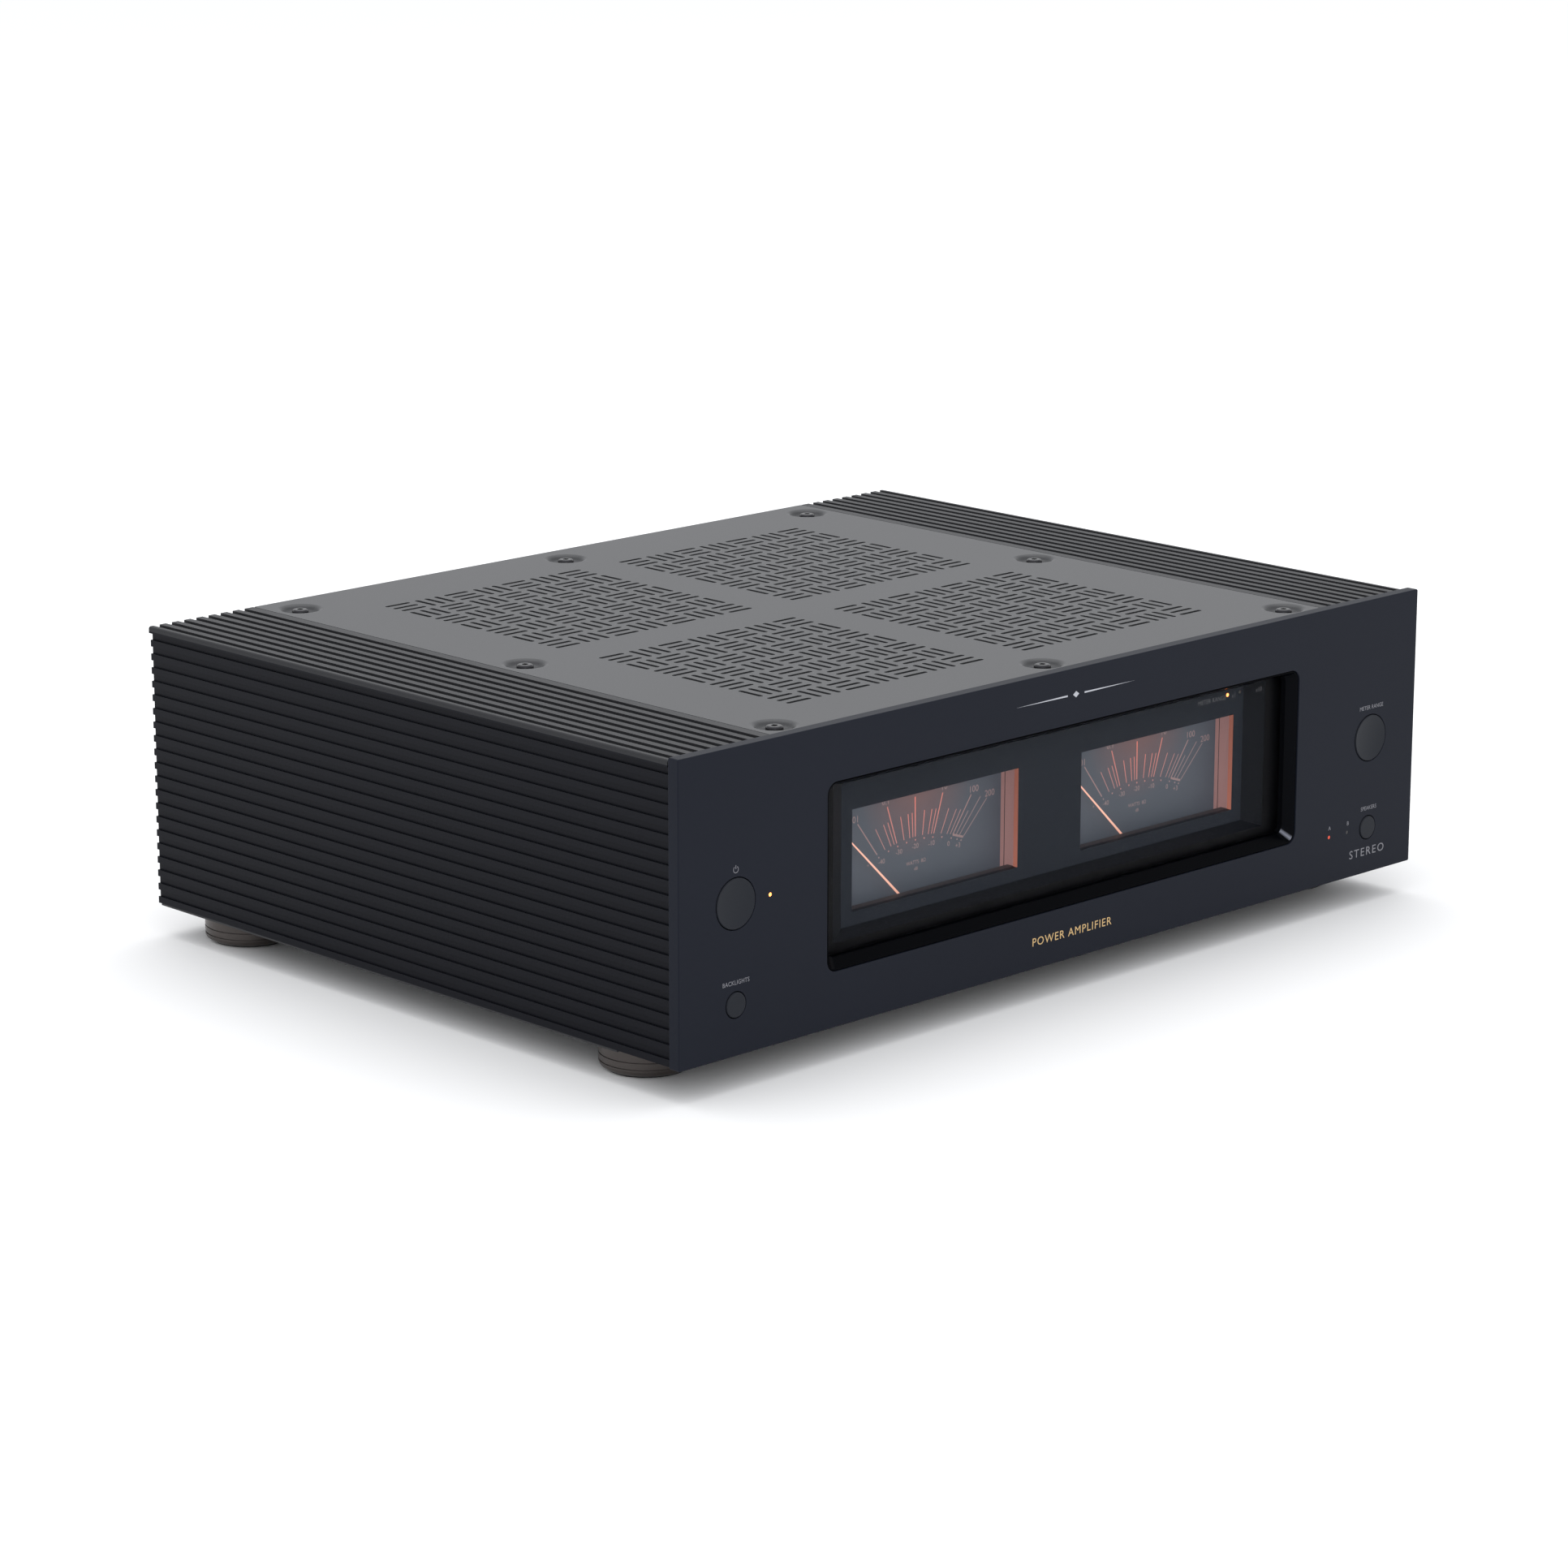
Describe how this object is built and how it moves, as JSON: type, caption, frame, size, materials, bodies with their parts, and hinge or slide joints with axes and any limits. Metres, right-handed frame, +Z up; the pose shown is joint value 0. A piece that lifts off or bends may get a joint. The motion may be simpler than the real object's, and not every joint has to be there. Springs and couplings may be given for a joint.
{
  "type": "power amplifier",
  "caption": "Stereo power amplifier with a wide dark front panel, two needle meters behind a glass window, push buttons, vented cover, ribbed sides and round feet.",
  "frame": {"origin": "centre of the bounding box, on the surface the feet stand on", "axes": "+X to the right as seen from the front, +Y from the front panel to the rear, +Z up"},
  "size_m": [0.435, 0.344, 0.1342],
  "materials": {
    "panel_anodised": "dark anodised, fine satin",
    "case_paint": "dark satin paint",
    "rear_paint": "dark satin paint",
    "black_frame": "matt black",
    "black_screw": "black oxide",
    "zinc_screw": "zinc plated",
    "zinc_sheet": "zinc plated sheet",
    "foot_metal": "satin grey-brown anodised",
    "foot_rubber": "matt",
    "button_metal": "dark anodised, spun face",
    "window_glass": "clear with a printed black border",
    "mask_plastic": "fine matt",
    "lamp_housing": "matt, lit warm",
    "dial_plate": "smoke grey print",
    "needle_paint": "pale orange",
    "movement_plastic": "black",
    "circuit_board": "green solder mask",
    "led_lens": "clear lens",
    "connector_plastic": "black",
    "gold_contact": "gold plated",
    "latch_metal": "bright",
    "cap_red": "red translucent",
    "cap_black": "black",
    "transformer_shell": "black potting shell",
    "capacitor_sleeve": "dark sleeve",
    "heatsink_metal": "plain",
    "transistor_body": "black"
  },
  "bodies": {
    "amplifier": {"front_panel": "panel_anodised", "window_bezel": "panel_anodised", "window_glass": "window_glass", "meter_mask": "mask_plastic", "top_cover": "case_paint", "top_cover_screws": "black_screw", "left_side_panel": "case_paint", "right_side_panel": "case_paint", "base_plate": "case_paint", "rear_panel": "rear_paint", "chassis_screws": "black_screw", "front_frame": "black_frame", "foot_front_left": "foot_metal", "foot_front_right": "foot_metal", "foot_rear_left": "foot_metal", "foot_rear_right": "foot_metal", "foot_pads": "foot_rubber", "foot_screws": "zinc_screw", "left_switch_board": "circuit_board", "right_switch_board": "circuit_board", "indicator_leds": "led_lens", "meter_housing_left": "lamp_housing", "meter_housing_right": "lamp_housing", "meter_scale_left": "dial_plate", "meter_scale_right": "dial_plate", "meter_movements": "movement_plastic", "meter_bracket": "zinc_sheet", "meter_lamp_board": "circuit_board", "mains_inlet": "connector_plastic", "rca_inputs": "gold_contact", "xlr_input_left": "connector_plastic", "xlr_input_right": "connector_plastic", "trigger_jack": "connector_plastic", "speaker_terminals_left": "gold_contact", "speaker_terminals_right": "gold_contact", "transformer": "transformer_shell", "transformer_clamp": "zinc_screw", "power_supply_board": "circuit_board", "filter_capacitors": "capacitor_sleeve", "heatsink_left": "heatsink_metal", "heatsink_right": "heatsink_metal", "output_transistors": "transistor_body", "amp_boards": "circuit_board", "input_board": "circuit_board"},
    "power_button_body": {"power_button": "button_metal"},
    "backlight_button_body": {"backlight_button": "button_metal"},
    "range_button_body": {"range_button": "button_metal"},
    "speaker_button_body": {"speaker_button": "button_metal"},
    "left_needle": {"meter_needle_left": "needle_paint"},
    "right_needle": {"meter_needle_right": "needle_paint"},
    "left_latch": {"xlr_latch_left": "latch_metal"},
    "right_latch": {"xlr_latch_right": "latch_metal"},
    "cap_a_left_negative_body": {"cap_a_left_negative": "cap_black"},
    "cap_a_left_positive_body": {"cap_a_left_positive": "cap_red"},
    "cap_b_left_negative_body": {"cap_b_left_negative": "cap_black"},
    "cap_b_left_positive_body": {"cap_b_left_positive": "cap_red"},
    "cap_a_right_negative_body": {"cap_a_right_negative": "cap_black"},
    "cap_a_right_positive_body": {"cap_a_right_positive": "cap_red"},
    "cap_b_right_negative_body": {"cap_b_right_negative": "cap_black"},
    "cap_b_right_positive_body": {"cap_b_right_positive": "cap_red"}
  },
  "joints": [
    {"name": "power_press", "type": "slide", "parent": "amplifier", "child": "power_button_body", "axis": [0, 1, 0], "range_m": [0, 0.0015], "stiffness_N_per_m": 600},
    {"name": "backlight_press", "type": "slide", "parent": "amplifier", "child": "backlight_button_body", "axis": [0, 1, 0], "range_m": [0, 0.0012], "stiffness_N_per_m": 600},
    {"name": "range_press", "type": "slide", "parent": "amplifier", "child": "range_button_body", "axis": [0, 1, 0], "range_m": [0, 0.0015], "stiffness_N_per_m": 600},
    {"name": "speaker_press", "type": "slide", "parent": "amplifier", "child": "speaker_button_body", "axis": [0, 1, 0], "range_m": [0, 0.0012], "stiffness_N_per_m": 600},
    {"name": "left_needle_swing", "type": "hinge", "parent": "amplifier", "child": "left_needle", "pos_m": [-0.06585, -0.14975, 0.0397], "axis": [0, 1, 0], "range_deg": [0, 91.6], "stiffness_Nm_per_rad": 0.0008},
    {"name": "right_needle_swing", "type": "hinge", "parent": "amplifier", "child": "right_needle", "pos_m": [0.06585, -0.14975, 0.0397], "axis": [0, 1, 0], "range_deg": [0, 91.6], "stiffness_Nm_per_rad": 0.0008},
    {"name": "left_latch_press", "type": "slide", "parent": "amplifier", "child": "left_latch", "axis": [0, 0, -1], "range_m": [0, 0.0012], "stiffness_N_per_m": 500},
    {"name": "right_latch_press", "type": "slide", "parent": "amplifier", "child": "right_latch", "axis": [0, 0, -1], "range_m": [0, 0.0012], "stiffness_N_per_m": 500},
    {"name": "cap_a_left_negative_unscrew", "type": "slide", "parent": "amplifier", "child": "cap_a_left_negative_body", "axis": [0, 1, 0], "range_m": [0, 0.005]},
    {"name": "cap_a_left_positive_unscrew", "type": "slide", "parent": "amplifier", "child": "cap_a_left_positive_body", "axis": [0, 1, 0], "range_m": [0, 0.005]},
    {"name": "cap_b_left_negative_unscrew", "type": "slide", "parent": "amplifier", "child": "cap_b_left_negative_body", "axis": [0, 1, 0], "range_m": [0, 0.005]},
    {"name": "cap_b_left_positive_unscrew", "type": "slide", "parent": "amplifier", "child": "cap_b_left_positive_body", "axis": [0, 1, 0], "range_m": [0, 0.005]},
    {"name": "cap_a_right_negative_unscrew", "type": "slide", "parent": "amplifier", "child": "cap_a_right_negative_body", "axis": [0, 1, 0], "range_m": [0, 0.005]},
    {"name": "cap_a_right_positive_unscrew", "type": "slide", "parent": "amplifier", "child": "cap_a_right_positive_body", "axis": [0, 1, 0], "range_m": [0, 0.005]},
    {"name": "cap_b_right_negative_unscrew", "type": "slide", "parent": "amplifier", "child": "cap_b_right_negative_body", "axis": [0, 1, 0], "range_m": [0, 0.005]},
    {"name": "cap_b_right_positive_unscrew", "type": "slide", "parent": "amplifier", "child": "cap_b_right_positive_body", "axis": [0, 1, 0], "range_m": [0, 0.005]}
  ]
}
